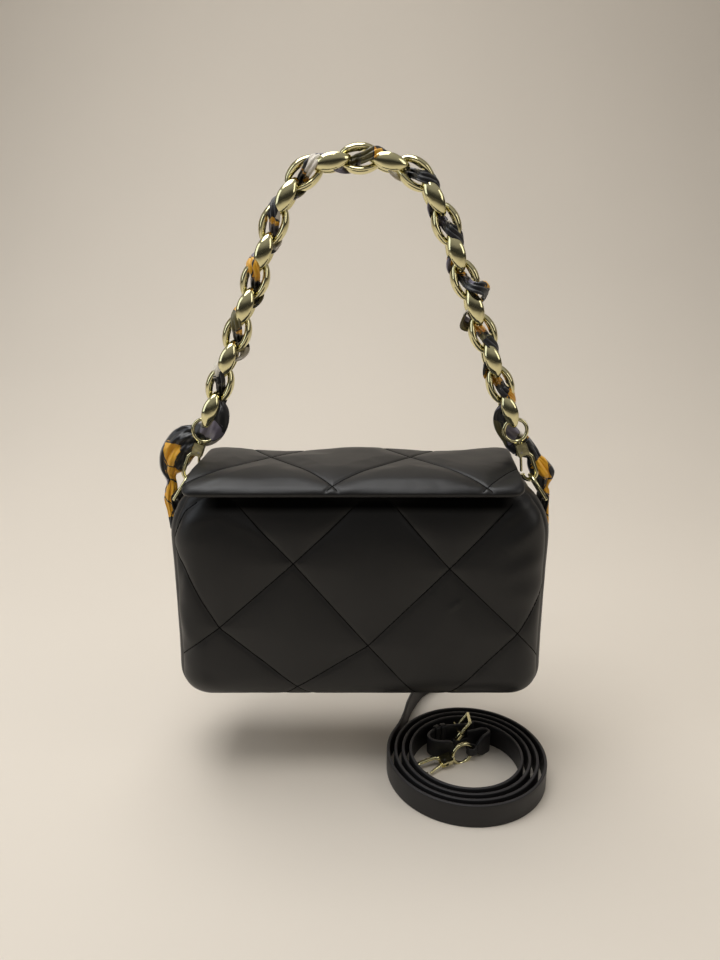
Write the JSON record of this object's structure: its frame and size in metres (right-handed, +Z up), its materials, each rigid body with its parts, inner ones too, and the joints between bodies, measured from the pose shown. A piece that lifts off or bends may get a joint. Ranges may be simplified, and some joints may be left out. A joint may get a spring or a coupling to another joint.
{
  "type": "chain shoulder bag",
  "caption": "Quilted box shoulder bag with a fold-up flap, hung from a chain handle threaded with a scarf, and a long hook-ended strap coiled below it.",
  "frame": {"origin": "middle of the top link of the chain handle, where the bag hangs from a peg", "axes": "+X to the right, +Y to the back, +Z up"},
  "size_m": [0.2902, 0.1995, 0.4567],
  "materials": {
    "chain": "polished",
    "trim_metal": "polished",
    "pin_metal": "satin",
    "scarf": "satin",
    "leather": "satin",
    "strap_leather": "satin",
    "lining_cloth": "matte",
    "board": "matte",
    "magnet": "satin"
  },
  "bodies": {
    "hung": {"hung_links": "chain", "scarf_top": "scarf"},
    "row_1": {"chain_row_1": "chain", "scarf_row_1": "scarf"},
    "row_2": {"chain_row_2": "chain", "scarf_row_2": "scarf"},
    "row_3": {"chain_row_3": "chain", "scarf_row_3": "scarf"},
    "row_4": {"chain_row_4": "chain", "scarf_row_4": "scarf"},
    "row_5": {"chain_row_5": "chain", "scarf_row_5": "scarf"},
    "row_6": {"chain_row_6": "chain", "scarf_row_6": "scarf"},
    "row_7": {"chain_row_7": "chain", "scarf_row_7": "scarf"},
    "row_8": {"chain_row_8": "chain", "scarf_row_8": "scarf"},
    "row_9": {"chain_row_9": "chain", "scarf_row_9": "scarf"},
    "rings": {"swivel_rings": "trim_metal", "scarf_tails": "scarf"},
    "bag": {"right_ring_tab": "leather", "left_ring_tab": "leather", "front_panel": "leather", "back_panel": "leather", "right_gusset": "leather", "left_gusset": "leather", "base_panel": "leather", "base_board": "board", "lining": "lining_cloth", "rim_magnets": "magnet", "flap_rear": "leather", "flap_rear_lining": "lining_cloth", "scarf_ends": "scarf"},
    "flap": {"flap_front": "leather", "flap_front_lining": "lining_cloth", "flap_magnets": "magnet"},
    "right_hook": {"right_hook": "trim_metal", "right_gate_pin": "pin_metal"},
    "right_gate": {"right_gate": "trim_metal"},
    "right_d_ring": {"right_d_ring": "trim_metal"},
    "left_hook": {"left_hook": "trim_metal", "left_gate_pin": "pin_metal"},
    "left_gate": {"left_gate": "trim_metal"},
    "left_d_ring": {"left_d_ring": "trim_metal"},
    "strap": {"long_strap": "strap_leather", "short_strap": "strap_leather", "buckle_frame": "trim_metal", "strap_keepers": "strap_leather", "strap_rings": "trim_metal"},
    "prong": {"buckle_prong": "trim_metal"},
    "near_strap_hook": {"near_strap_hook": "trim_metal", "near_strap_gate_pin": "pin_metal"},
    "near_strap_gate": {"near_strap_gate": "trim_metal"},
    "far_strap_hook": {"far_strap_hook": "trim_metal", "far_strap_gate_pin": "pin_metal"},
    "far_strap_gate": {"far_strap_gate": "trim_metal"}
  },
  "joints": [
    {"name": "row_1_swing", "type": "hinge", "parent": "hung", "child": "row_1", "pos_m": [0, 0, -0.01646], "axis": [1, 0, 0], "range_deg": [-15, 15]},
    {"name": "row_2_swing", "type": "hinge", "parent": "row_1", "child": "row_2", "pos_m": [0, 0, -0.02961], "axis": [-1, 0, 0], "range_deg": [-14, 14]},
    {"name": "row_3_swing", "type": "hinge", "parent": "row_2", "child": "row_3", "pos_m": [0, 0, -0.05227], "axis": [1, 0, 0], "range_deg": [-18, 18]},
    {"name": "row_4_swing", "type": "hinge", "parent": "row_3", "child": "row_4", "pos_m": [0, 0, -0.06579], "axis": [-1, 0, 0], "range_deg": [-18, 18]},
    {"name": "row_5_swing", "type": "hinge", "parent": "row_4", "child": "row_5", "pos_m": [0, 0, -0.08844], "axis": [1, 0, 0], "range_deg": [-18, 18]},
    {"name": "row_6_swing", "type": "hinge", "parent": "row_5", "child": "row_6", "pos_m": [0, 0, -0.10196], "axis": [-1, 0, 0], "range_deg": [-18, 18]},
    {"name": "row_7_swing", "type": "hinge", "parent": "row_6", "child": "row_7", "pos_m": [0, 0, -0.12462], "axis": [1, 0, 0], "range_deg": [-18, 18]},
    {"name": "row_8_swing", "type": "hinge", "parent": "row_7", "child": "row_8", "pos_m": [0, 0, -0.13814], "axis": [-1, 0, 0], "range_deg": [-18, 18]},
    {"name": "row_9_swing", "type": "hinge", "parent": "row_8", "child": "row_9", "pos_m": [0, 0, -0.16079], "axis": [1, 0, 0], "range_deg": [-18, 18]},
    {"name": "rings_swing", "type": "hinge", "parent": "row_9", "child": "rings", "pos_m": [0, 0, -0.1752], "axis": [-1, 0, 0], "range_deg": [-25, 25]},
    {"name": "bag_swing", "type": "hinge", "parent": "rings", "child": "bag", "pos_m": [0, 0, -0.21986], "axis": [1, 0, 0], "range_deg": [-30, 30]},
    {"name": "flap_lift", "type": "hinge", "parent": "bag", "child": "flap", "pos_m": [0, -0.0135, -0.20616], "axis": [-1, 0, 0], "range_deg": [0, 88]},
    {"name": "right_hook_swivel", "type": "hinge", "parent": "rings", "child": "right_hook", "pos_m": [0.1171, 0, -0.19268], "axis": [-0.3616, 0, 0.9323], "range_deg": [-15, 15]},
    {"name": "right_gate_open", "type": "hinge", "parent": "right_hook", "child": "right_gate", "pos_m": [0.11821, 0, -0.19901], "axis": [0, -1, 0], "range_deg": [0, 20], "stiffness_Nm_per_rad": 0.006, "springref_deg": -28.65},
    {"name": "right_d_ring_swing", "type": "hinge", "parent": "bag", "child": "right_d_ring", "pos_m": [0.1368, 0, -0.23272], "axis": [0, 1, 0], "range_deg": [0, 3]},
    {"name": "left_hook_swivel", "type": "hinge", "parent": "rings", "child": "left_hook", "pos_m": [-0.1171, 0, -0.19268], "axis": [0.3616, 0, 0.9323], "range_deg": [-15, 15]},
    {"name": "left_gate_open", "type": "hinge", "parent": "left_hook", "child": "left_gate", "pos_m": [-0.11821, 0, -0.19901], "axis": [0, 1, 0], "range_deg": [0, 20], "stiffness_Nm_per_rad": 0.006, "springref_deg": -28.65},
    {"name": "left_d_ring_swing", "type": "hinge", "parent": "bag", "child": "left_d_ring", "pos_m": [-0.1368, 0, -0.23272], "axis": [0, -1, 0], "range_deg": [0, 3]},
    {"name": "strap_draw", "type": "slide", "parent": "hung", "child": "strap", "axis": [0, -0.9659, 0.2588], "range_m": [0, 0.25]},
    {"name": "prong_lift", "type": "hinge", "parent": "strap", "child": "prong", "pos_m": [0.08034, -0.01288, -0.43181], "axis": [0.5592, 0, 0.829], "range_deg": [0, 5]},
    {"name": "near_strap_hook_swivel", "type": "hinge", "parent": "strap", "child": "near_strap_hook", "pos_m": [0.0712, -0.03217, -0.43825], "axis": [0.9203, 0.3718, 0.1219], "range_deg": [0, 40]},
    {"name": "near_strap_gate_open", "type": "hinge", "parent": "near_strap_hook", "child": "near_strap_gate", "pos_m": [0.06589, -0.03559, -0.43944], "axis": [-0.0219, 0.36, -0.9327], "range_deg": [0, 20], "stiffness_Nm_per_rad": 0.006, "springref_deg": -28.65},
    {"name": "far_strap_hook_swivel", "type": "hinge", "parent": "strap", "child": "far_strap_hook", "pos_m": [0.11682, 0.09009, -0.43825], "axis": [-0.9775, -0.1724, 0.1219], "range_deg": [0, 40]},
    {"name": "far_strap_gate_open", "type": "hinge", "parent": "far_strap_hook", "child": "far_strap_gate", "pos_m": [0.12272, 0.09234, -0.43944], "axis": [-0.0534, -0.3567, -0.9327], "range_deg": [0, 20], "stiffness_Nm_per_rad": 0.006, "springref_deg": -28.65}
  ]
}
